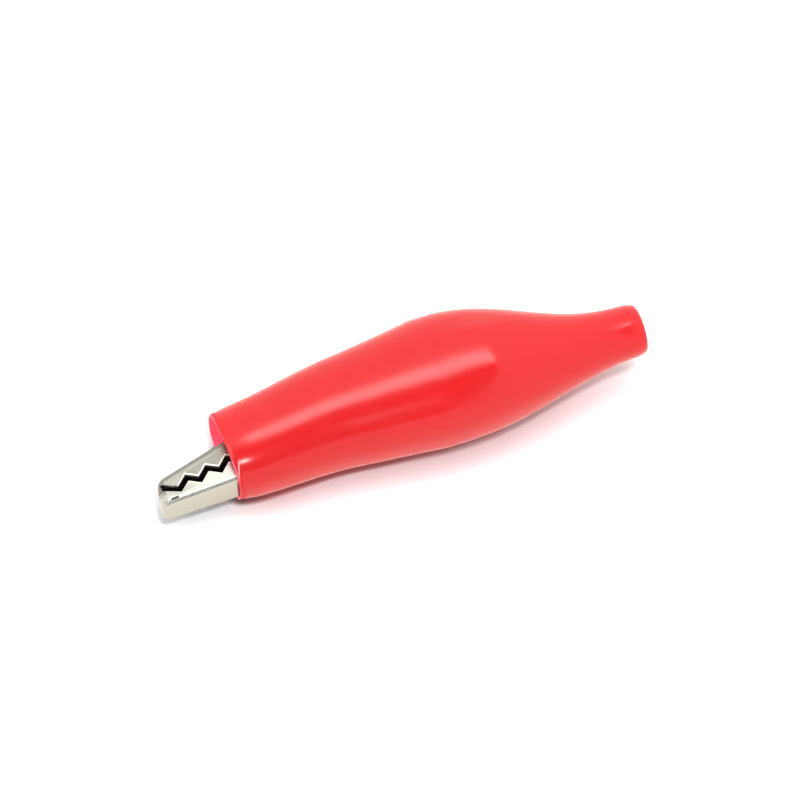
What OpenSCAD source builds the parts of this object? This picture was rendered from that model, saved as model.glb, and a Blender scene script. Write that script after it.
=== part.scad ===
// Crocodile clip with a soft boot.
// The tail's end face is at x = 0 and the jaws point towards -X.
// The jaws open along +Y and the rivet lies along Z.

/* [Jaws] */
// Thickness of the stamped sheet
sheet = 0.32; // [0.28:0.01:0.4]
// Length of the jaws from the nose to the rivet
jaw_len = 13.85; // [12.5:0.05:15.5]
// Outer width of the jaws
jaw_w = 2.9; // [2.6:0.05:3.2]
// How much narrower the nose is than the jaws
nose_taper = 0.7; // [0.4:0.05:0.8]
// Radius of the nose's corners
nose_r = 0.5; // [0.4:0.05:0.6]
// Lean of the nose, along the axis for each millimetre of height
nose_lean = 0.13; // [0:0.01:0.2]
// Inner radius of the bend between floor and sides
bend_in_r = 0.06; // [0.02:0.01:0.2]
// Length of the relief slot above each bend at the lower nose
relief_len = 0.5; // [0.4:0.05:0.9]
// Width of the relief slot
relief_h = 0.16; // [0.08:0.01:0.2]
// Distance from the nose to the relief slot
relief_from = 0.8; // [0.6:0.05:1.2]
// Height of the relief slot over the floor's outer face
relief_lift = 0.33; // [0.25:0.01:0.4]
// Tilt of the bite line against the boot's axis
bite_tilt = 8; // [7.5:0.1:9]
// Depth of the lower jaw's nose below the bite line
lower_nose_h = 1; // [0.9:0.01:1.1]
// Depth of the lower jaw's floor below the rivet
lower_rivet_h = 2.4; // [2.2:0.01:2.5]
// Height of the upper jaw's nose above the bite line
upper_nose_h = 1.08; // [1:0.01:1.3]
// Height of the upper jaw's back above the rivet
upper_rivet_h = 2.6; // [2.4:0.01:2.7]

/* [Teeth] */
// Distance between teeth
tooth_pitch = 1.49; // [1.2:0.01:1.8]
// Height of a tooth, valley to tip
tooth_h = 0.56; // [0.4:0.02:0.66]
// Gap between the two rows of teeth
tooth_gap = 0.52; // [0.45:0.01:0.65]
// Distance from the nose to the upper jaw's first tooth tip
first_tooth = 1.54; // [1.3:0.01:1.7]
// Height of the first flank, from the first tooth tip up to the nose post
first_flank_h = 0.62; // [0.5:0.02:0.75]
// Length of the toothed edge
teeth_len = 9.1; // [7.5:0.1:9.5]
// Distance from the nose to the first flank, the width of the post that closes the row of teeth
nose_post = 0.45; // [0.4:0.01:0.55]
// Gap where the upper jaw's nose post meets the lower jaw
nose_gap = 0.03; // [0.02:0.01:0.08]

/* [Levers] */
// Length of the levers behind the rivet
lever_len = 10.35; // [9:0.05:12]
// Height of the upper lever's end above the rivet
upper_lever_h = 3.65; // [3.4:0.01:4]
// Depth of the lower lever's end below the rivet
lower_lever_h = 2.63; // [2.4:0.01:2.9]
// Outer width of the lower lever's pad, which is the wider one
lever_w = 4.8; // [4.2:0.05:5]
// Length of the pads at the levers' ends
pad_len = 3.5; // [2.5:0.1:4.5]
// Outer radius of the bend along the pads' sides
pad_bend_r = 1.3; // [1:0.05:1.5]
// Radius of the pads' corners, seen from above
pad_corner_r = 1.2; // [0.8:0.05:1.6]
// Height of the levers' side flanges
flange_h = 1.1; // [0.9:0.05:1.3]
// Radius where the ears run out into the flanges
flange_fillet = 1.2; // [0.6:0.1:1.6]
// Radius of the ears round the rivet
ear_r = 1.75; // [1.6:0.05:1.9]
// Running gap between the nested ears
nest_gap = 0.05; // [0.04:0.01:0.1]
// Length of the flare from the jaws to the ears
flare_len = 2; // [1.6:0.1:2.6]
// Straight run between the flares and the ears
flare_gap = 0.35; // [0.3:0.05:0.6]

/* [Wire crimp] */
// Distance from the levers' end to the crimp's end
crimp_reach = 3.3; // [3:0.05:4]
// Length of the crimp barrel
crimp_len = 1.9; // [1.5:0.05:2.2]
// Inner radius of the crimp barrel
crimp_r = 0.75; // [0.6:0.05:0.9]
// Depth of the crimp's axis below the boot's axis
crimp_drop = 0.35; // [0.2:0.05:0.5]
// Height of the tongue's curled edges over its outer face
tongue_h = 0.42; // [0.38:0.01:0.6]
// Width of the slot between the crimp's two tabs
crimp_slot = 0.9; // [0.6:0.05:1.1]
// Diameter of the solder hole
solder_hole_d = 1.2; // [0.8:0.1:1.4]

/* [Rivet] */
// Outer diameter of the tubular shank
rivet_d = 1.6; // [1.4:0.05:1.8]
// Diameter of the rivet's hollow
rivet_hollow_d = 0.9; // [0.7:0.05:1.1]
// Diameter of the heads
rivet_head_d = 2.6; // [2.3:0.05:3]
// Thickness of a head
rivet_head_t = 0.22; // [0.18:0.01:0.3]
// Running gap between shank and ears
rivet_gap = 0.05; // [0.03:0.01:0.09]
// Height of the rivet above the boot's axis
rivet_rise = 0.1; // [0:0.01:0.3]

/* [Spring] */
// Diameter of the spring wire
wire_d = 0.44; // [0.36:0.01:0.5]
// Mean radius of the coil
coil_r = 1.3; // [1.2:0.05:1.4]
// Length of the spring's legs behind the rivet
leg_len = 5.5; // [4.5:0.1:7]
// Gap at each side of the coil
coil_gap = 0.08; // [0.05:0.01:0.12]
// Gap between a leg's end and its lever
leg_gap = 0.03; // [0.02:0.01:0.1]

/* [Boot] */
// How far the jaws stand out of the boot
reach_out = 5.2; // [4:0.05:7]
// Wall of the boot
boot_wall = 0.6; // [0.5:0.05:0.8]
// Wall of the boot at its mouth
lip_wall = 0.36; // [0.3:0.01:0.6]
// Wall of the boot at the tail's end
tail_wall = 0.45; // [0.4:0.05:0.7]
// Diameter of the cable hole
cable_d = 2.5; // [2:0.05:3]
// Length of the cable hole
cable_hole_len = 3.2; // [2.5:0.1:4]
// Length of the tail behind the crimp
tail_len = 7.5; // [6.5:0.1:9]
// Room under the lower jaw in the mouth
mouth_floor_gap = 0.1; // [0.1:0.01:0.4]
// Room over the upper jaw in the mouth
mouth_top_room = 2.19; // [1.8:0.01:2.4]
// Room beside the jaws in the mouth
mouth_side_room = 1; // [0.9:0.02:1.2]
// Lean of the mouth's cut, along the axis for each millimetre of height
mouth_lean = 0.05; // [0:0.01:0.1]
// How far the boot's back sinks half way from the mouth to the bulge
back_sink = 0.26; // [0:0.02:0.4]
// Room over the upper lever's end
upper_room = 0.92; // [0.85:0.01:1.2]
// Room under the lower lever's end
lower_room = 0.7; // [0.65:0.01:1]
// Room beside the levers' pads
pad_room = 0.62; // [0.5:0.02:0.8]
// Distance from the rivet to where the bulge is full
bulge_from = 6.2; // [5:0.1:7]
// Distance from the full height's end to the levers' end
height_before_end = 3; // [2.4:0.1:3.6]
// Distance from the full width's end to the levers' end
width_before_end = 0.5; // [0.2:0.1:1]
// Distance from the tail's end to where the shoulder ends
shoulder_end = 0.7; // [0.5:0.1:2.2]
// Squareness of the boot's front section, 2 is round
boot_square = 2.3; // [2.2:0.05:2.6]

/* [Hidden] */

// Places along the axis
lever_end_x = -(tail_len + crimp_reach);
crimp_end_x = -tail_len;
crimp_start_x = crimp_end_x - crimp_len;
rivet_x = lever_end_x - lever_len;
nose_x = rivet_x - jaw_len * cos(bite_tilt);
mouth_x = nose_x + reach_out;
bulge_x0 = rivet_x + bulge_from;
height_x1 = lever_end_x - height_before_end;
width_x1 = lever_end_x - width_before_end;
bend_r = bend_in_r + sheet;
flare_x1 = rivet_x - ear_r - flare_gap;
flare_x0 = flare_x1 - flare_len;
pad_x0 = lever_end_x - pad_len;
pad_flare_x0 = rivet_x + ear_r + flare_gap;
tongue_x0 = lever_end_x - pad_corner_r;

// Widths across the rivet
jaw_half = jaw_w / 2;
nest = nest_gap + sheet;
ear_half = jaw_half + nest;
pad_half = lever_w / 2;
crimp_half = crimp_r + sheet;
rivet_hole_r = rivet_d / 2 + rivet_gap;
ear_lap = ear_r / 2;

// Reach of the cutting solids past the metal
past = 1;
far = 3 * upper_lever_h;
// Depth of the tongue's end inside the crimp barrel's wall
tongue_seat = 0.05;
fine_step = 0.35;
bend_steps = 6;
nose_steps = 5;
// Share of a nose corner's radius by which its edge is dished
nose_dish = 0.5;
boot_sides = 24;
wire_sides = 10;
turn_steps = 24;
fillet_fn = 24;
round_fn = 48;

function mix(a, b, t) = a + (b - a) * t;
function part_of(x, a, b) = max(0, min(1, (x - a) / (b - a)));
function smooth(t) = t * t * (3 - 2 * t);
function reversed(list) = [for (i = [len(list) - 1 : -1 : 0]) list[i]];

// Heights along the axis, as y values of the metal's outer faces
function bite_y(x) = rivet_rise + (x - rivet_x) * tan(bite_tilt);
function crimp_floor_y() = tongue_seat - crimp_drop - crimp_half;
function lower_y(x) =
    x < rivet_x ? bite_y(x) - mix(lower_nose_h, lower_rivet_h, part_of(x, nose_x, rivet_x))
    : x < lever_end_x ? rivet_rise - mix(lower_rivet_h, lower_lever_h, part_of(x, rivet_x, lever_end_x))
    : mix(rivet_rise - lower_lever_h, crimp_floor_y(), smooth(part_of(x, lever_end_x, crimp_start_x)));
function upper_y(x) =
    x < rivet_x ? bite_y(x) + mix(upper_nose_h, upper_rivet_h, part_of(x, nose_x, rivet_x))
    : rivet_rise + mix(upper_rivet_h, upper_lever_h, part_of(x, rivet_x, lever_end_x));

// Half widths along the axis, and the outer radius of the bends
function ear_flare(x) = smooth(part_of(x, flare_x0, flare_x1));
function pad_flare(x) = smooth(part_of(x, pad_flare_x0, pad_x0));
function tongue_at(x) = smooth(part_of(x, tongue_x0, crimp_start_x));
function jaw_half_at(x) = jaw_half - nose_taper / 2 * (1 - part_of(x, nose_x, flare_x0));
function upper_half_at(x) = mix(jaw_half_at(x), pad_half - nest, pad_flare(x));
function lower_half_at(x) =
    mix(mix(jaw_half_at(x) + nest * ear_flare(x), pad_half, pad_flare(x)), crimp_half, tongue_at(x));
function bend_at(x) = mix(mix(bend_r, pad_bend_r, pad_flare(x)), crimp_half, tongue_at(x));

// One cross-section of a folded channel that is closed at y and open towards top
function channel_ring(x, y, half, top, r) =
    let (up = top > y ? 1 : -1,
         side = concat([[x, top, half]],
             [for (i = [0 : bend_steps]) let (a = 90 * i / bend_steps)
                 [x, y + up * (r - r * sin(a)), half - r + r * cos(a)]]),
         ring = concat(side, [for (p = reversed(side)) [p[0], p[1], -p[2]]]))
    up > 0 ? ring : reversed(ring);

// Rings lean back at the nose and stand upright at the mouth
function leaning(ring) = let (lean = nose_lean * (1 - part_of(ring[0][0], nose_x, mouth_x)))
    [for (p = ring) [p[0] + lean * (p[1] - lower_y(nose_x)), p[1], p[2]]];

// A solid through a list of rings that have the same number of points
module loft(rings) {
    count = len(rings[0]);
    last = (len(rings) - 1) * count;
    sides = [for (i = [0 : len(rings) - 2], j = [0 : count - 1])
        let (a = i * count + j, b = i * count + (j + 1) % count)
        each [[a, a + count, b + count], [a, b + count, b]]];
    ends = [[for (j = [0 : count - 1]) j], [for (j = [count - 1 : -1 : 0]) last + j]];
    polyhedron([for (ring = rings) each ring], concat(sides, ends), convexity = 6);
}

// Stations along a jaw: a rounded nose, then about one station per step
function nose_stations(r) = [for (i = [0 : nose_steps]) let (a = 90 * i / nose_steps)
    [r * (1 - cos(a)), r * (1 - sin(a))]];
function body_stations(x0, x1, step = 1) = let (steps = ceil((x1 - x0) / step))
    [for (i = [1 : steps]) mix(x0, x1, i / steps)];

// Rings of the lower jaw's skin, inset by a depth from its outer face
function lower_rings(inset, end_x) =
    let (r = nose_r - inset, start = nose_x + inset, top = upper_lever_h + inset)
    concat(
        [for (s = nose_stations(r)) let (x = start + s[0])
            leaning(channel_ring(x, lower_y(x) + inset + nose_dish * s[1], jaw_half_at(x) - inset - s[1],
                top, bend_r - inset))],
        [for (x = concat(body_stations(start + r, tongue_x0), body_stations(tongue_x0, end_x, fine_step)))
            leaning(channel_ring(x, lower_y(x) + inset, lower_half_at(x) - inset, top, bend_at(x) - inset))]);
function upper_rings(inset, end_x) =
    let (r = nose_r - inset, start = nose_x + inset, top = -far - inset)
    concat(
        [for (s = nose_stations(r)) let (x = start + s[0])
            leaning(channel_ring(x, upper_y(x) - inset - nose_dish * s[1], jaw_half_at(x) - inset - s[1],
                top, bend_r - inset))],
        [for (x = body_stations(start + r, end_x))
            leaning(channel_ring(x, upper_y(x) - inset, upper_half_at(x) - inset, top, bend_at(x) - inset))]);

// The toothed edge in the bite line's own frame: u runs from the rivet, v across the bite
function tooth_count() = floor(teeth_len / tooth_pitch);
function teeth(offset) = concat(
    [[nose_post - jaw_len, offset - tooth_h / 2 + first_flank_h]],
    [for (i = [0 : tooth_count() - 1], k = [0, 0.5])
        [first_tooth - jaw_len + (i + k) * tooth_pitch, offset + (k == 0 ? -1 : 1) * tooth_h / 2]]);

module at_rivet() translate([rivet_x, rivet_rise, 0]) children();
module slab() translate([0, 0, -pad_half - past]) linear_extrude(2 * (pad_half + past)) children();
module rivet_holes() at_rivet() cylinder(r = rivet_hole_r, h = 2 * (ear_half + past), center = true, $fn = round_fn);
module filleted(r) offset(r = -r, $fn = fillet_fn) offset(r = r, $fn = fillet_fn) children();

// Side outline that a jaw's toothed front keeps; dir is -1 for the lower jaw, 1 for the upper
module toothed_front(dir) {
    edge = teeth(dir * tooth_gap / 2);
    meet = teeth(-tooth_gap / 2)[0][1] + (dir > 0 ? nose_gap : 0);
    at_rivet() rotate(bite_tilt) slab() polygon(concat(
        [[-jaw_len - past, dir * far], [-jaw_len - past, meet], [nose_post - jaw_len, meet]],
        edge, [[0, edge[len(edge) - 1][1]], [0, dir * far]]));
}

// Side outline of a lever with its ear: an edge of points along the flange, closed at far height
module lever_side(edge, far_y) filleted(flange_fillet) {
    translate([rivet_x, rivet_rise]) circle(ear_r, $fn = round_fn);
    polygon(concat([[rivet_x - ear_lap, far_y], [rivet_x - ear_lap, rivet_rise]], edge,
        [[edge[len(edge) - 1][0], far_y]]));
}

// Outline of a lever's pad seen from above, with rounded corners at its end
module pad_plan(half) translate([0, far, 0]) rotate([90, 0, 0]) linear_extrude(2 * far)
    offset(r = pad_corner_r, $fn = round_fn)
        translate([nose_x - past, pad_corner_r - half])
            square([lever_end_x - nose_x + past - pad_corner_r, 2 * (half - pad_corner_r)]);

// Lower jaw: toothed front, ears outside the upper jaw's, lever and wire crimp
module lower_jaw() color("gainsboro") difference() {
    union() {
        intersection() {
            difference() {
                loft(lower_rings(0, crimp_start_x + past));
                loft(lower_rings(sheet, crimp_start_x + 2 * past));
            }
            union() {
                toothed_front(-1);
                intersection() {
                    slab() lever_side(lower_flange(), -far);
                    pad_plan(pad_half);
                }
                slab() tongue_side();
            }
        }
        at_crimp() cylinder(r = crimp_half, h = crimp_len, $fn = round_fn);
    }
    rivet_holes();
    solder_hole();
    relief_slots();
    crimp_bore();
}

// Slots that free the nose from the folded sides
module relief_slots() for (side = [-1, 1])
    translate([nose_x + relief_from, lower_y(nose_x) + relief_lift, side * jaw_half_at(nose_x) - bend_r])
        cube([relief_len, relief_h, 2 * bend_r]);

// Upper edge of the lower lever's side flange
function lower_flange() = [for (x = [rivet_x + ear_r + flange_h, lever_end_x]) [x, lower_y(x) + flange_h]];

// The tongue that carries the crimp, under the wire
module tongue_side() polygon(concat(
    [[tongue_x0, -far]],
    [for (x = body_stations(tongue_x0, crimp_start_x + past, fine_step)) [x, lower_y(x) + tongue_h]],
    [[crimp_start_x + past, -far]]));

module solder_hole() translate([lever_end_x - solder_hole_d, -far, 0]) rotate([-90, 0, 0])
    cylinder(d = solder_hole_d, h = far, $fn = round_fn);

// The crimp barrel stands on the tongue; its bore and slot leave two tabs that curl round the bared wire
module at_crimp() translate([crimp_start_x, -crimp_drop, 0]) rotate([0, 90, 0]) children();
module crimp_bore() at_crimp() translate([0, 0, -past]) {
    cylinder(r = crimp_r, h = crimp_len + 2 * past, $fn = round_fn);
    translate([-crimp_slot / 2, 0, 0]) cube([crimp_slot, crimp_r + 2 * sheet, crimp_len + 2 * past]);
}

// Upper jaw: toothed front, ears inside the lower jaw's, and lever
module upper_jaw() color("silver") difference() {
    intersection() {
        difference() {
            loft(upper_rings(0, lever_end_x));
            loft(upper_rings(sheet, lever_end_x + past));
        }
        union() {
            toothed_front(1);
            intersection() {
                slab() lever_side(upper_flange(), far);
                pad_plan(pad_half - nest);
            }
        }
    }
    rivet_holes();
}

// Lower edge of the upper lever's side flange
function upper_flange() = [for (x = [rivet_x + ear_r + flange_h, lever_end_x]) [x, upper_y(x) - flange_h]];

// Tubular rivet with a rolled head at each end
module pivot_rivet() color("lightgray") at_rivet() rotate_extrude($fn = round_fn) {
    shank_half = ear_half + rivet_head_t;
    translate([rivet_hollow_d / 2, -shank_half]) square([(rivet_d - rivet_hollow_d) / 2, 2 * shank_half]);
    for (side = [-1, 1]) translate([0, side * (ear_half + rivet_head_t / 2)]) {
        translate([rivet_d / 2, -rivet_head_t / 2]) square([(rivet_head_d - rivet_d - rivet_head_t) / 2, rivet_head_t]);
        translate([(rivet_head_d - rivet_head_t) / 2, 0]) circle(d = rivet_head_t, $fn = round_fn);
    }
}

// Torsion spring: a coil round the rivet whose legs push the levers apart
coil_span = jaw_w - 2 * sheet - 2 * coil_gap - wire_d;
leg_x = rivet_x + leg_len;
leg_top = [leg_len, upper_y(leg_x) - rivet_rise - sheet - wire_d / 2 - leg_gap];
leg_low = [leg_len, lower_y(leg_x) - rivet_rise + sheet + wire_d / 2 + leg_gap];
coil_from = atan2(leg_top[1], leg_top[0]) + acos(coil_r / norm(leg_top));
coil_to = atan2(leg_low[1], leg_low[0]) - acos(coil_r / norm(leg_low));
coil_turns = floor(coil_span / wire_d - (360 + coil_to - coil_from) / 360);
coil_sweep = 360 * coil_turns + 360 + coil_to - coil_from;

function coil_point(t) = let (a = coil_from + coil_sweep * t)
    [coil_r * cos(a), coil_r * sin(a), coil_span * (t - 0.5)];
function wire_ring(p, heading) = [for (i = [0 : wire_sides - 1]) let (a = 360 * i / wire_sides)
    p + wire_d / 2 * [-sin(heading) * cos(a), cos(heading) * cos(a), sin(a)]];

module spring() color("darkgray") at_rivet() {
    steps = turn_steps * ceil(coil_sweep / 360);
    loft(concat(
        [wire_ring([leg_top[0], leg_top[1], -coil_span / 2], coil_from + 90)],
        [for (i = [0 : steps]) wire_ring(coil_point(i / steps), coil_from + coil_sweep * i / steps + 90)],
        [wire_ring([leg_low[0], leg_low[1], coil_span / 2], coil_to + 90)]));
}

// Boot: lowest and highest points of its cavity at the mouth and at the bulge
mouth_low = lower_y(mouth_x) - mouth_floor_gap;
mouth_high = upper_y(mouth_x) + mouth_top_room;
bulge_low = lower_y(lever_end_x) - lower_room;
bulge_high = upper_y(lever_end_x) + upper_room;
mouth_half_h = (mouth_high - mouth_low) / 2;
mouth_half_w = jaw_half_at(mouth_x) + mouth_side_room;
bulge_half_h = (bulge_high - bulge_low) / 2;
bulge_half_w = pad_half + pad_room;
cable_r = cable_d / 2;
lip_r = lip_wall / 4;
cavity_square = 3;
// The cavity's end lies just inside the cable hole, which the hole's own cut then opens
bore_skin = 0.08;
bore_lap = 0.3;
cavity_neck_r = cable_r - bore_skin;

// A measure at x: a cone from mouth to bulge, a shoulder from x1 down to the neck, then a run to the tail
function boot_run(x, mouth, bulge, x1, neck_x, neck, tail) =
    x < x1 ? mix(mouth, bulge, part_of(x, mouth_x, bulge_x0))
    : x < neck_x ? mix(neck, bulge, (1 + cos(180 * part_of(x, x1, neck_x))) / 2)
    : mix(neck, tail, part_of(x, neck_x, 0));
function shoulder(x) = smooth(part_of(x, height_x1, -cable_hole_len));
function sink(x) = let (t = part_of(x, mouth_x, bulge_x0)) 2 * back_sink * t * (1 - t);
function centre_y(x) = mix(
    mix((mouth_low + mouth_high) / 2, (bulge_low + bulge_high) / 2, smooth(part_of(x, mouth_x, rivet_x))),
    0, shoulder(x)) - sink(x);
function squareness(x) = mix(boot_square, 2, shoulder(x));
function mouth_slant(x) = mouth_lean * (1 - part_of(x, mouth_x, flare_x0));
// A ring of the boot, turned by half a side so that it rests on a flat side and not on a corner
function boot_ring(x, half_h, half_w, n) = [for (i = [0 : boot_sides - 1])
    let (a = 360 * (i + 0.5) / boot_sides, c = cos(a), s = sin(a),
         y = centre_y(x) + (half_h - sink(x)) * sign(c) * pow(abs(c), 2 / n))
    [x - mouth_slant(x) * y, y, half_w * sign(s) * pow(abs(s), 2 / n)]];
function skin_run(x, mouth, bulge, x1) = boot_run(x, mouth + lip_wall, bulge + boot_wall, x1,
    -shoulder_end, cable_r + boot_wall, cable_r + tail_wall);
function skin_ring(x, inset) = boot_ring(x, skin_run(x, mouth_half_h, bulge_half_h, height_x1) - inset,
    skin_run(x, mouth_half_w, bulge_half_w, width_x1) - inset, squareness(x));
function cavity_run(x, mouth, bulge, x1) =
    boot_run(x, mouth, bulge, x1, -cable_hole_len, cavity_neck_r, cavity_neck_r);
function cavity_ring(x) = boot_ring(x, cavity_run(x, mouth_half_h, bulge_half_h, height_x1),
    cavity_run(x, mouth_half_w, bulge_half_w, width_x1),
    mix(cavity_square, squareness(x), part_of(x, rivet_x, bulge_x0)));

// Soft sleeve: one skin from the cavity's inner end out to the mouth and back to the tail
module boot() color("crimson") difference() {
    loft(concat(
        [for (x = reversed(body_stations(mouth_x, bore_lap - cable_hole_len))) cavity_ring(x)],
        [cavity_ring(mouth_x), skin_ring(mouth_x, lip_r), skin_ring(mouth_x + lip_r, 0)],
        [for (x = body_stations(mouth_x + lip_r, 0)) skin_ring(x, 0)]));
    translate([-cable_hole_len, 0, 0]) rotate([0, 90, 0])
        cylinder(r = cable_r, h = cable_hole_len + past, $fn = round_fn);
}

lower_jaw();
upper_jaw();
pivot_rivet();
spring();
boot();
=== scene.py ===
"""Looks of a small crocodile clip in a soft red boot, lying on its side on a white table."""

from math import acos, atan2, ceil, cos, hypot, pi, radians, sin, tan

import bmesh
import bpy
from mathutils import Matrix, Vector


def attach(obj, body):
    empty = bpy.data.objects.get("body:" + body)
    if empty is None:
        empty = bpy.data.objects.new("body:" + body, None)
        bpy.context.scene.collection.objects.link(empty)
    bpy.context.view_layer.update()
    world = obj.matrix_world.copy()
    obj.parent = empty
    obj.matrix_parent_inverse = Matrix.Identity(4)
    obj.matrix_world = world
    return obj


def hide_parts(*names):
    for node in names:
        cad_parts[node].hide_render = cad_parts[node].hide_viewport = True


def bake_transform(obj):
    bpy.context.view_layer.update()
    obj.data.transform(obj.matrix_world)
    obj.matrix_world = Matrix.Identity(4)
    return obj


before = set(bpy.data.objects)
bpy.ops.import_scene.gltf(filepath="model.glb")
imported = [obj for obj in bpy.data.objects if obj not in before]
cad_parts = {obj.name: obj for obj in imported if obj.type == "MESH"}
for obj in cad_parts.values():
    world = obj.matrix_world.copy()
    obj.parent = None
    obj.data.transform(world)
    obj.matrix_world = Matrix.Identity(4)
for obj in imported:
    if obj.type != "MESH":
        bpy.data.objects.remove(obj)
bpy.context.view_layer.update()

MM = 0.001

# Camera: its angles, its distance and its scale at the point that it was fitted to
VIEW_AZIMUTH = radians(-19.7)
VIEW_ELEVATION = radians(60)
VIEW_DISTANCE = 260 * MM
FITTED_POINT = Vector((-14.8, 0, 0)) * MM
PIXELS_PER_MM = 14.885
IMAGE_SIDE = 800
SENSOR_WIDTH = 36
# What is nearer or farther than this isn't seen, in metres
CLIP_START = 10 * MM
CLIP_END = 10
# The image's centre lies this far to the left of the fitted point and below it
CENTRE_LEFT = 2.3 * MM
CENTRE_BELOW = 0.54 * MM

# Boot, in millimetres: outer half heights and half widths, walls, and places along the axis
MOUTH_HALF = (3.1, 2.65)
BULGE_HALF = (4.55, 3.62)
NECK_RADIUS = 1.85
TAIL_RADIUS = 1.7
CABLE_RADIUS = 1.25
CAVITY_NECK = 1.17
LIP_WALL = 0.36
BOOT_WALL = 0.6
MOUTH_X = -29.67
RIVET_X = -21.15
RIVET_Y = 0.1
BULGE_START = -14.95
# The bulge ends here in height and in width: the levers' ends hold the sides out
BULGE_END = (-13.8, -11.3)
LEVER_END = -10.8
SHOULDER_END = -0.7
CABLE_HOLE = 3.2
MOUTH_CENTRE = 0.01
BULGE_CENTRE = 0.72
# Powers of the sections' outlines: an ellipse has 2, and a squarer section has more
ELLIPSE = 2
SQUARENESS = 2.3
CAVITY_SQUARENESS = 3
# Radii of the rounded edges
LIP_ROUND = 0.1
TAIL_ROUND = 0.16
HOLE_ROUND = TAIL_ROUND / 2
# The skin draws in over its last stretch before the lip
DRAWN_IN = 0.12
DRAWN_LENGTH = 1.8
# The back sinks in between the mouth and the bulge
BACK_SINK = 0.26
# The mouth is cut a little askew: millimetres along the axis for each millimetre of height
MOUTH_LEAN = 0.05
MOUTH_LEAN_END = -25.15
# The levers' ends press the sides out from within: how far, over which stretch and which heights
PRINT_DEPTH = 0.2
PRINT_START = -15.5
PRINT_EDGE = 2.0
PRINT_TOP = 1.6
PRINT_LOW = -1.4
PRINT_FADE = 1.2
# The print changes sides over this distance from the middle plane
PRINT_PARTING = 1.0
# Points round a ring, millimetres between rings, and steps in a rounded edge
RING_POINTS = 96
STATION = 0.3
ROUND_STEPS = 4


def mix(a, b, t):
    return a + (b - a) * t


def part_of(x, a, b):
    """How far x is on the way from a to b, from 0 to 1."""
    return max(0.0, min(1.0, (x - a) / (b - a)))


def smooth(t):
    return t * t * (3 - 2 * t)


def signed_power(value, power):
    return abs(value) ** power * (1 if value > 0 else -1)


def stations(start, end):
    steps = ceil(abs(end - start) / STATION)
    return [mix(start, end, i / steps) for i in range(steps + 1)]


def quarter_turns():
    return [pi / 2 * i / ROUND_STEPS for i in range(ROUND_STEPS + 1)]


def new_object(name, data):
    piece = bpy.data.objects.new(name, data)
    bpy.context.scene.collection.objects.link(piece)
    return piece


def mesh_object(name, points, faces):
    """A smooth object; points are in millimetres."""
    mesh = bpy.data.meshes.new(name)
    mesh.from_pydata([Vector(p) * MM for p in points], [], faces)
    mesh.validate()
    for polygon in mesh.polygons:
        polygon.use_smooth = True
    return new_object(name, mesh)


def skin_through(name, rings, closed):
    """A mesh through equally long rings, closed from last to first or capped at both ends."""
    count = len(rings[0])
    points = [p for ring in rings for p in ring]
    faces = []
    for i in range(len(rings) if closed else len(rings) - 1):
        here, there = i * count, (i + 1) % len(rings) * count
        for j in range(count):
            k = (j + 1) % count
            faces.append((here + j, there + j, there + k, here + k))
    if not closed:
        faces.append(tuple(range(count)))
        faces.append(tuple(reversed(range(len(points) - count, len(points)))))
    return mesh_object(name, points, faces)


# Boot
def shoulder(x):
    return smooth(part_of(x, BULGE_END[0], -CABLE_HOLE))


def sink(x):
    t = part_of(x, MOUTH_X, BULGE_START)
    return 2 * BACK_SINK * t * (1 - t)


def centre_y(x):
    rise = mix(MOUTH_CENTRE, BULGE_CENTRE, smooth(part_of(x, MOUTH_X, RIVET_X)))
    return mix(rise, 0, shoulder(x)) - sink(x)


def skin_squareness(x):
    return mix(SQUARENESS, ELLIPSE, shoulder(x))


def boot_run(x, mouth, bulge, bulge_end, neck_x, neck, tail):
    """A half measure at x: a cone to the bulge, a shoulder down to the neck, a run to the tail."""
    if x < bulge_end:
        return mix(mouth, bulge, part_of(x, MOUTH_X, BULGE_START))
    if x < neck_x:
        return mix(neck, bulge, (1 + cos(pi * part_of(x, bulge_end, neck_x))) / 2)
    return mix(neck, tail, part_of(x, neck_x, 0))


def skin_half(x):
    ends = (SHOULDER_END, NECK_RADIUS, TAIL_RADIUS)
    return [boot_run(x, MOUTH_HALF[k], BULGE_HALF[k], BULGE_END[k], *ends) for k in (0, 1)]


def cavity_half(x):
    ends = (-CABLE_HOLE, CAVITY_NECK, CAVITY_NECK)
    return [
        boot_run(x, MOUTH_HALF[k] - LIP_WALL, BULGE_HALF[k] - BOOT_WALL, BULGE_END[k], *ends)
        for k in (0, 1)
    ]


def boot_ring(x, half, squareness):
    """A section of the boot at x, from its half height and half width."""
    power = 2 / squareness
    ring = []
    for i in range(RING_POINTS):
        angle = 2 * pi * i / RING_POINTS
        y = centre_y(x) + (half[0] - sink(x)) * signed_power(cos(angle), power)
        lean = MOUTH_LEAN * y * (1 - part_of(x, MOUTH_X, MOUTH_LEAN_END))
        ring.append((x - lean, y, half[1] * signed_power(sin(angle), power)))
    return ring


def lever_print(point):
    """The skin's point, pushed outwards where the ends of the levers press from within."""
    x, y, z = point
    along = smooth(part_of(x, PRINT_START, LEVER_END))
    along *= (1 - part_of(x, LEVER_END, LEVER_END + PRINT_EDGE)) ** 2
    across = smooth(part_of(y, PRINT_TOP + PRINT_FADE, PRINT_TOP))
    across *= smooth(part_of(y, PRINT_LOW - PRINT_FADE, PRINT_LOW))
    push = PRINT_DEPTH * along * across * min(1, abs(z) / PRINT_PARTING)
    return x, y, z + (push if z > 0 else -push)


def skin_ring(x, inset=0.0):
    drawn = DRAWN_IN * (1 - part_of(x, MOUTH_X, MOUTH_X + DRAWN_LENGTH)) ** 2
    half = [h - inset - drawn for h in skin_half(x)]
    return [lever_print(p) for p in boot_ring(x, half, skin_squareness(x))]


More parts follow.
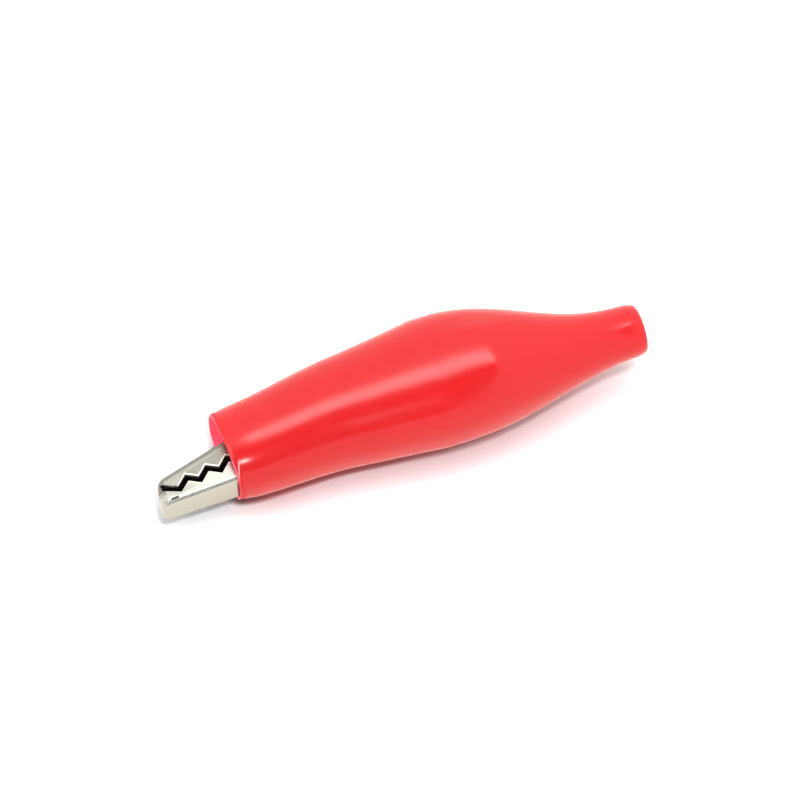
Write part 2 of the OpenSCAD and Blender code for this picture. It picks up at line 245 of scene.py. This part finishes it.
def cavity_ring(x, widen=0.0):
    half = [h + widen for h in cavity_half(x)]
    squareness = mix(CAVITY_SQUARENESS, skin_squareness(x), part_of(x, RIVET_X, BULGE_START))
    return boot_ring(x, half, squareness)


def round_ring(x, radius):
    return boot_ring(x, (radius, radius), ELLIPSE)


def make_boot():
    """One closed skin: from the tail to the mouth, round the lip and back through the cavity."""
    rings = [skin_ring(x) for x in stations(-TAIL_ROUND, MOUTH_X + LIP_ROUND)]
    for a in quarter_turns():
        rings.append(skin_ring(MOUTH_X + LIP_ROUND * (1 - sin(a)), LIP_ROUND * (1 - cos(a))))
    for a in quarter_turns():
        rings.append(cavity_ring(MOUTH_X + LIP_ROUND * (1 - cos(a)), LIP_ROUND * (1 - sin(a))))
    rings += [cavity_ring(x) for x in stations(MOUTH_X + 2 * LIP_ROUND, -CABLE_HOLE)]
    rings += [round_ring(x, CABLE_RADIUS) for x in stations(-CABLE_HOLE, -HOLE_ROUND)]
    for a in quarter_turns():
        rings.append(round_ring(-HOLE_ROUND * (1 - sin(a)), CABLE_RADIUS + HOLE_ROUND * (1 - cos(a))))
    for a in quarter_turns():
        rings.append(round_ring(-TAIL_ROUND * (1 - cos(a)), TAIL_RADIUS - TAIL_ROUND * (1 - sin(a))))
    # The last ring would lie on the first one
    return skin_through("boot_sleeve", rings[:-1], closed=True)


# Jaws: points nearer than this become one, and so do faces that meet flatter than this
WELD = 0.002 * MM
FLAT = radians(1)
BITE_TILT = radians(8)
# A cut face lies this near to the bite line and this far out to the side, in millimetres,
# and its normal has no more than this along Z
CUT_REACH = 0.75
CUT_SIDE = 0.7
CUT_NORMAL = 0.3
# The stamping rounded the teeth's outer edges, but not past this place next to the tip
EDGE_ROUND = 0.08 * MM
EDGE_STEPS = 3
TIP_X = -34.45 * MM
# Places of a jaw's two materials: its plating and the painted highlight on its edges
PLATED, EDGE_HIGHLIGHT = 0, 1


def is_cut(face):
    """True for the faces that the stamping tool cut through the sheet along the teeth."""
    x, y, z = face.calc_center_median() / MM
    height = y - RIVET_Y - (x - RIVET_X) * tan(BITE_TILT)
    return abs(face.normal.z) < CUT_NORMAL and abs(z) > CUT_SIDE and abs(height) < CUT_REACH


def is_outer_cut(edge):
    """True where a cut face meets the outer face of the sheet."""
    plain = [face for face in edge.link_faces if not is_cut(face)]
    if len(edge.link_faces) != 2 or len(plain) != 1 or min(v.co.x for v in edge.verts) < TIP_X:
        return False
    return plain[0].normal.z * edge.verts[0].co.z > 0


def make_jaw(node, plating, edge_highlight):
    """A copy of a jaw's mesh, smooth in its bends, with a painted highlight on the teeth's rounded
    outer edges.
    """
    net = bmesh.new()
    net.from_mesh(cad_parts[node].data)
    bmesh.ops.remove_doubles(net, verts=net.verts, dist=WELD)
    bmesh.ops.dissolve_limit(net, angle_limit=FLAT, verts=net.verts, edges=net.edges)
    for face in net.faces:
        face.smooth = True
        face.material_index = PLATED
    weight = net.edges.layers.float.new("bevel_weight_edge")
    for edge in net.edges:
        edge[weight] = int(is_outer_cut(edge))
    mesh = bpy.data.meshes.new(node + "_sheet")
    net.to_mesh(mesh)
    net.free()
    mesh.materials.clear()
    mesh.materials.append(plating)
    mesh.materials.append(edge_highlight)
    piece = new_object(node + "_sheet", mesh)
    soft = piece.modifiers.new("edges", "BEVEL")
    soft.width = EDGE_ROUND
    soft.segments = EDGE_STEPS
    soft.material = EDGE_HIGHLIGHT
    soft.limit_method = "WEIGHT"
    soft.use_clamp_overlap = False
    piece.modifiers.new("normals", "WEIGHTED_NORMAL")
    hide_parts(node)
    return piece


# Spring, in millimetres from the pivot
COIL_RADIUS = 1.3
COIL_HALF = 0.83
COIL_TURNS = 4
COIL_STEPS = 200
WIRE_RADIUS = 0.22
WIRE_SIDES = 20
LEG_STEPS = 14
LEG_TOP = (5.5, 2.588)
LEG_LOW = (5.5, -1.952)
TIP_ROUND = 0.08


def wire_ring(x, y, z, heading, radius=WIRE_RADIUS):
    """A ring round the wire where it runs at this heading; x and y are from the pivot."""
    ring = []
    for i in range(WIRE_SIDES):
        a = 2 * pi * i / WIRE_SIDES
        across = radius * cos(a)
        place_x = RIVET_X + x - across * sin(heading)
        place_y = RIVET_Y + y + across * cos(heading)
        ring.append((place_x, place_y, z + radius * sin(a)))
    return ring


def leg_rings(tip, root, z, heading):
    """Rings from a leg's rounded tip to where the leg meets the coil."""
    along = (root - tip).normalized()
    rings = []
    for a in quarter_turns():
        place = tip + along * TIP_ROUND * (1 - sin(a))
        rings.append(wire_ring(*place, z, heading, WIRE_RADIUS - TIP_ROUND * (1 - cos(a))))
    rings.reverse()
    rings += [wire_ring(*tip.lerp(root, i / LEG_STEPS), z, heading) for i in range(1, LEG_STEPS)]
    return rings


def make_spring():
    """The torsion spring: a coil round the rivet, with a leg under each lever."""
    start = atan2(LEG_TOP[1], LEG_TOP[0]) + acos(COIL_RADIUS / hypot(*LEG_TOP))
    end = atan2(LEG_LOW[1], LEG_LOW[0]) - acos(COIL_RADIUS / hypot(*LEG_LOW))
    sweep = 2 * pi * COIL_TURNS + end - start
    coil = []
    for i in range(COIL_STEPS + 1):
        t = i / COIL_STEPS
        a = start + sweep * t
        x, y = COIL_RADIUS * cos(a), COIL_RADIUS * sin(a)
        coil.append(wire_ring(x, y, COIL_HALF * (2 * t - 1), a + pi / 2))
    top_root = Vector((cos(start), sin(start))) * COIL_RADIUS
    low_root = Vector((cos(end), sin(end))) * COIL_RADIUS
    top = leg_rings(Vector(LEG_TOP), top_root, -COIL_HALF, start + pi / 2)
    low = leg_rings(Vector(LEG_LOW), low_root, COIL_HALF, end + pi / 2)
    return skin_through("torsion_spring", top + coil + list(reversed(low)), closed=False)


# Materials; an owner is a material or the world
def new_material(name, **settings):
    material = bpy.data.materials.new(name)
    material.use_nodes = True
    shader = material.node_tree.nodes["Principled BSDF"]
    for socket, value in settings.items():
        shader.inputs[socket.replace("_", " ")].default_value = value
    return material, shader


def add_node(owner, kind, **values):
    node = owner.node_tree.nodes.new(kind)
    for key, value in values.items():
        if key in node.inputs:
            node.inputs[key].default_value = value
        else:
            setattr(node, key, value)
    return node


def link(owner, source, target):
    owner.node_tree.links.new(source, target)


def split_axes(owner, vector):
    """The vector's sockets X, Y and Z."""
    node = add_node(owner, "ShaderNodeSeparateXYZ")
    link(owner, vector, node.inputs["Vector"])
    return node.outputs


def openness(owner, reach, samples, only_local=False):
    """1 where nothing is near the surface within the reach, and 0 where it is closed in."""
    kind = "ShaderNodeAmbientOcclusion"
    node = add_node(owner, kind, samples=samples, only_local=only_local, Distance=reach)
    return node.outputs["AO"]


def noise(owner, scale, detail, stretch=(1, 1, 1)):
    """Noise in the part's own coordinates; scale is in cycles per metre."""
    place = add_node(owner, "ShaderNodeTexCoord")
    mapping = add_node(owner, "ShaderNodeMapping")
    mapping.inputs["Scale"].default_value = stretch
    texture = add_node(owner, "ShaderNodeTexNoise", Scale=scale, Detail=detail)
    link(owner, place.outputs["Object"], mapping.inputs["Vector"])
    link(owner, mapping.outputs["Vector"], texture.inputs["Vector"])
    return texture.outputs["Fac"]


def map_range(owner, value, low, high, start=0.0, end=1.0):
    """Low where the value is at start, and high where it is at end."""
    node = add_node(owner, "ShaderNodeMapRange")
    numbers = {"From Min": start, "From Max": end, "To Min": low, "To Max": high}
    for socket, number in numbers.items():
        node.inputs[socket].default_value = number
    link(owner, value, node.inputs["Value"])
    return node.outputs["Result"]


def math_node(owner, operation, a, b):
    node = add_node(owner, "ShaderNodeMath", operation=operation)
    for socket, value in zip(node.inputs, (a, b)):
        if isinstance(value, (int, float)):
            socket.default_value = value
        else:
            link(owner, value, socket)
    return node.outputs[0]


def choose(owner, switch, off, on):
    """The socket off where the switch is 0, and the number on where it is 1."""
    node = add_node(owner, "ShaderNodeMix", data_type="FLOAT")
    link(owner, switch, node.inputs["Factor"])
    link(owner, off, node.inputs["A"])
    node.inputs["B"].default_value = on
    return node.outputs["Result"]


def mix_colours(owner, factor, first, second):
    """The first colour at factor 0 and the second at factor 1; each is a colour or a socket."""
    node = add_node(owner, "ShaderNodeMix", data_type="RGBA")
    link(owner, factor, node.inputs["Factor"])
    for key, colour in (("A", first), ("B", second)):
        if isinstance(colour, tuple):
            node.inputs[key].default_value = colour
        else:
            link(owner, colour, node.inputs[key])
    return node.outputs["Result"]


def bump(owner, height, distance, strength):
    node = add_node(owner, "ShaderNodeBump", Strength=strength, Distance=distance)
    link(owner, height, node.inputs["Height"])
    return node.outputs["Normal"]


def finish_surface(material, shader, colour, roughness, normal):
    for name, source in (("Base Color", colour), ("Roughness", roughness), ("Normal", normal)):
        link(material, source, shader.inputs[name])


VINYL_RED = (0.55, 0.011, 0.0125, 1)
# Painted light: the vinyl is painted paler inside, for the light that the thin wall lets through
VINYL_INSIDE_PAINTED_LIGHT = (0.9, 0.13, 0.2, 1)
# Openness within the reach: at most the first number inside the boot, and the second outside
HOLLOW_REACH = 6 * MM
HOLLOW_OPEN = (0.5, 0.9)
SHADE_SAMPLES = 8
# Over this length from the mouth the thin wall lets light through: a painted glow of this strength
THIN_LENGTH = 5
THROUGH_LIGHT = 0.6
# The vinyl's clouded gloss and its slight ripple: cycles per metre, detail and size
GLOSS_CLOUDS = (900, 3)
VINYL_ROUGHNESS = (0.16, 0.26)
RIPPLE = (700, 2)
RIPPLE_HEIGHT = 0.02 * MM
RIPPLE_STRENGTH = 0.35


def boot_vinyl():
    """Soft red vinyl, with painted light inside the boot: paler all through and glowing near the
    mouth.
    """
    material, shader = new_material(
        "boot_vinyl",
        Subsurface_Weight=1.0,
        Subsurface_Radius=(1.0, 0.2, 0.3),
        Subsurface_Scale=1.0 * MM,
        IOR=1.37,
        Emission_Color=VINYL_INSIDE_PAINTED_LIGHT,
    )
    # The painted light goes where the boot is closed in, which is inside it
    hollow = openness(material, HOLLOW_REACH, SHADE_SAMPLES, only_local=True)
    outside = map_range(material, hollow, 0, 1, *HOLLOW_OPEN)
    colour = mix_colours(material, outside, VINYL_INSIDE_PAINTED_LIGHT, VINYL_RED)
    place = add_node(material, "ShaderNodeTexCoord")
    x = split_axes(material, place.outputs["Object"])["X"]
    # Painted glow near the mouth
    near_mouth = map_range(material, x, 1, 0, MOUTH_X * MM, (MOUTH_X + THIN_LENGTH) * MM)
    inside = map_range(material, hollow, 1, 0, *HOLLOW_OPEN)
    through = math_node(material, "MULTIPLY", near_mouth, inside)
    glow = math_node(material, "MULTIPLY", through, THROUGH_LIGHT)
    link(material, glow, shader.inputs["Emission Strength"])
    roughness = map_range(material, noise(material, *GLOSS_CLOUDS), *VINYL_ROUGHNESS)
    normal = bump(material, noise(material, *RIPPLE), RIPPLE_HEIGHT, RIPPLE_STRENGTH)
    finish_surface(material, shader, colour, roughness, normal)
    return material


# Metals: colour, roughness and how metallic they are
METALS = {
    # The teeth's rounded edges: pale and hardly metallic, as a painted highlight
    "edge_painted_highlight": ((0.85, 0.82, 0.73), 0.5, 0.15),
    # One nickel on both jaws: the lower jaw's colour is painted light, the upper jaw's painted shade
    "lower_nickel_painted_light": ((0.43, 0.425, 0.37), 0.25, 1.0),
    "upper_nickel_painted_shade": ((0.215, 0.207, 0.178), 0.36, 1.0),
    "rivet_nickel": ((0.75, 0.73, 0.68), 0.25, 1.0),
    "spring_steel": ((0.5, 0.5, 0.5), 0.3, 1.0),
}
# Painted shade: openness within a fold's depth, dark at the first number and bright from the second
# on
FOLD_DEPTH = 2.5 * MM
FOLD_SHADE = (0.25, 0.7)
FOLD_DARK = 0.3
# The metal's fine grain: cycles per metre, detail, stretch, and how far it changes the roughness
GRAIN = (6000, 4, (0.15, 1, 1))
GRAIN_ROUGHNESS = (-0.04, 0.05)
GRAIN_HEIGHT = 0.004 * MM
GRAIN_STRENGTH = 0.3


def metal(name):
    """A bright metal with painted shade in its folds and wherever other surfaces are near."""
    colour, roughness, metallic = METALS[name]
    material, shader = new_material(name, Metallic=metallic)
    hollow = openness(material, FOLD_DEPTH, SHADE_SAMPLES)
    shade = map_range(material, hollow, 0, 1, *FOLD_SHADE)
    dark = tuple(c * FOLD_DARK for c in colour)
    paint = mix_colours(material, shade, (*dark, 1), (*colour, 1))
    grain = noise(material, *GRAIN)
    rough = map_range(material, grain, *(roughness + change for change in GRAIN_ROUGHNESS))
    normal = bump(material, grain, GRAIN_HEIGHT, GRAIN_STRENGTH)
    finish_surface(material, shader, paint, rough, normal)
    return material


def dress(name, material):
    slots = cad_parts[name].data.materials
    slots.clear()
    slots.append(material)


# Camera, table and light
def view_axes():
    a, e = VIEW_AZIMUTH, VIEW_ELEVATION
    back = Vector((sin(a) * cos(e), -cos(a) * cos(e), sin(e)))
    right = Vector((cos(a), sin(a), 0))
    return right, back.cross(right), back


def make_camera():
    right, up, back = view_axes()
    data = bpy.data.cameras.new("camera")
    data.sensor_width = SENSOR_WIDTH
    data.lens = PIXELS_PER_MM / MM * VIEW_DISTANCE * SENSOR_WIDTH / IMAGE_SIDE
    data.clip_start = CLIP_START
    data.clip_end = CLIP_END
    place = FITTED_POINT - right * CENTRE_LEFT - up * CENTRE_BELOW + back * VIEW_DISTANCE
    turn = Matrix((right, up, back)).transposed().to_4x4()
    camera = new_object("camera", data)
    camera.matrix_world = Matrix.Translation(place) @ turn
    bpy.context.scene.camera = camera


# The clip lies on its bulge and its mouth, so the table leans a little in the clip's frame
FLOOR_TILT = radians(3.5)
FLOOR_TOUCH = Vector((-14.2, 0, -3.62)) * MM
FLOOR_HALF = 2.0
# Painted shadow and bounce: dark paper close under the clip, and some of the clip's colour further
# out
CONTACT_REACH = 0.8 * MM
CONTACT_POWER = 5
BOUNCE_REACH = 4 * MM
PAPER_SAMPLES = 16
PAPER_WHITE = (0.9, 0.9, 0.9, 1)
BOOT_CONTACT = (0.48, 0.12, 0.13, 1)
BOOT_BOUNCE = (0.55, 0.38, 0.4, 1)
JAW_CONTACT = (0.1, 0.1, 0.1, 1)
JAW_BOUNCE = (0.6, 0.6, 0.6, 1)
# The painted shadow and bounce go from the jaws' colours to the boot's over this stretch
BOOT_TINT_X = (-30 * MM, -27 * MM)
# Painted reflection: the paper's mirror image in the clip is warmer and shows no painted shade
PAPER_MIRRORED = (0.95, 0.9, 0.84, 1)


def make_floor():
    h = FLOOR_HALF / MM
    table = mesh_object("table", [(-h, -h, 0), (h, -h, 0), (h, h, 0), (-h, h, 0)], [(0, 1, 2, 3)])
    table.matrix_world = Matrix.Translation(FLOOR_TOUCH) @ Matrix.Rotation(FLOOR_TILT, 4, "Y")
    material, shader = new_material("white_paper", Roughness=0.9)
    place = add_node(material, "ShaderNodeNewGeometry")
    x = split_axes(material, place.outputs["Position"])["X"]
    by_boot = map_range(material, x, 0, 1, *BOOT_TINT_X)
    # Painted contact shadow and bounce, by how closed in the paper is
    wide = openness(material, BOUNCE_REACH, PAPER_SAMPLES)
    close = openness(material, CONTACT_REACH, PAPER_SAMPLES)
    bounce = mix_colours(material, by_boot, JAW_BOUNCE, BOOT_BOUNCE)
    contact = mix_colours(material, by_boot, JAW_CONTACT, BOOT_CONTACT)
    paper = mix_colours(material, wide, bounce, PAPER_WHITE)
    shade = math_node(material, "POWER", close, CONTACT_POWER)
    paper = mix_colours(material, shade, contact, paper)
    ray = add_node(material, "ShaderNodeLightPath")
    paper = mix_colours(material, ray.outputs["Is Glossy Ray"], paper, PAPER_MIRRORED)
    link(material, paper, shader.inputs["Base Color"])
    table.data.materials.append(material)


# The tent's opening, as slopes x/z and y/z of the directions that it is seen in from the clip
OPENING_X = (-0.8, 0.41)
OPENING_Y = (-2.3, 0.03)
# Half the width of the opening's soft edge, and the least height that a slope is taken at
TENT_EDGE = 0.05
LEAST_HEIGHT = 0.02
# Strengths of the opening and of the tent in the clip's gloss, and of both on matt surfaces and
# in the camera
OPENING_LIGHT = 0.15
TENT_LIGHT = 1.6
TENT_GLOW = 1.0
TENT_SEEN = 1


def make_tent():
    """A white light tent with a dark opening that the camera looks in through."""
    world = bpy.data.worlds.new("tent")
    bpy.context.scene.world = world
    world.use_nodes = True
    background = world.node_tree.nodes["Background"]
    place = add_node(world, "ShaderNodeTexCoord")
    axes = split_axes(world, place.outputs["Generated"])
    height = math_node(world, "MAXIMUM", axes["Z"], LEAST_HEIGHT)
    shade = None
    for axis, (low, high) in (("X", OPENING_X), ("Y", OPENING_Y)):
        slope = math_node(world, "DIVIDE", axes[axis], height)
        for edge, side in ((low, 1), (high, -1)):
            reach = side * TENT_EDGE
            inside = map_range(world, slope, 0, 1, edge - reach, edge + reach)
            shade = inside if shade is None else math_node(world, "MULTIPLY", shade, inside)
    strength = map_range(world, shade, TENT_LIGHT, OPENING_LIGHT)
    ray = add_node(world, "ShaderNodeLightPath")
    strength = choose(world, ray.outputs["Is Diffuse Ray"], strength, TENT_GLOW)
    strength = choose(world, ray.outputs["Is Camera Ray"], strength, TENT_SEEN)
    link(world, strength, background.inputs["Strength"])
    background.inputs["Color"].default_value = (1, 1, 1, 1)


LAMP_HEIGHT = 0.6
# Each lamp's X and Y from the clip and its size along X and across it, all as shares of the
# lamps' height, and its radiance
SOFTBOX = ((0.13, 0.15), (0.57, 0.24), 8.3)
SMALL_LAMP = ((-0.26, -0.65), (0.1, 0.12), 130.0)
STRIP_LAMP = ((0, -1.25), (1.2, 0.1), 0.6)
KEY_LAMP = ((0, -0.33), (0.1, 0.1), 180.0)


def make_lamp(name, place, size, radiance):
    """A rectangular lamp that faces the clip."""
    width, depth = (side * LAMP_HEIGHT for side in size)
    data = bpy.data.lights.new(name, "AREA")
    data.shape = "RECTANGLE"
    data.size, data.size_y = width, depth
    data.energy = radiance * width * depth * pi
    spot = Vector([share * LAMP_HEIGHT for share in (*place, 1)])
    turn = spot.to_track_quat("Z", "Y").to_matrix().to_4x4()
    lamp = new_object(name, data)
    lamp.matrix_world = Matrix.Translation(spot) @ turn
    return lamp


def make_light():
    """The small lamp only makes a glint, and the key lamp only lights and casts shadows."""
    make_tent()
    make_lamp("softbox", *SOFTBOX)
    make_lamp("small_lamp", *SMALL_LAMP).visible_diffuse = False
    make_lamp("strip_lamp", *STRIP_LAMP)
    make_lamp("key_lamp", *KEY_LAMP).visible_glossy = False


make_camera()
make_floor()
make_light()

boot = make_boot()
boot.data.materials.append(boot_vinyl())
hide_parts("boot")
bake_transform(boot)

# The edges' painted highlight, and each jaw's nickel with its painted light or shade
edge_highlight = metal("edge_painted_highlight")
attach(make_jaw("lower_jaw", metal("lower_nickel_painted_light"), edge_highlight), "lower_body")
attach(make_jaw("upper_jaw", metal("upper_nickel_painted_shade"), edge_highlight), "upper_body")
dress("pivot_rivet", metal("rivet_nickel"))

spring = make_spring()
spring.data.materials.append(metal("spring_steel"))
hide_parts("spring")
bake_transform(spring)

bpy.context.scene.view_settings.view_transform = "Standard"
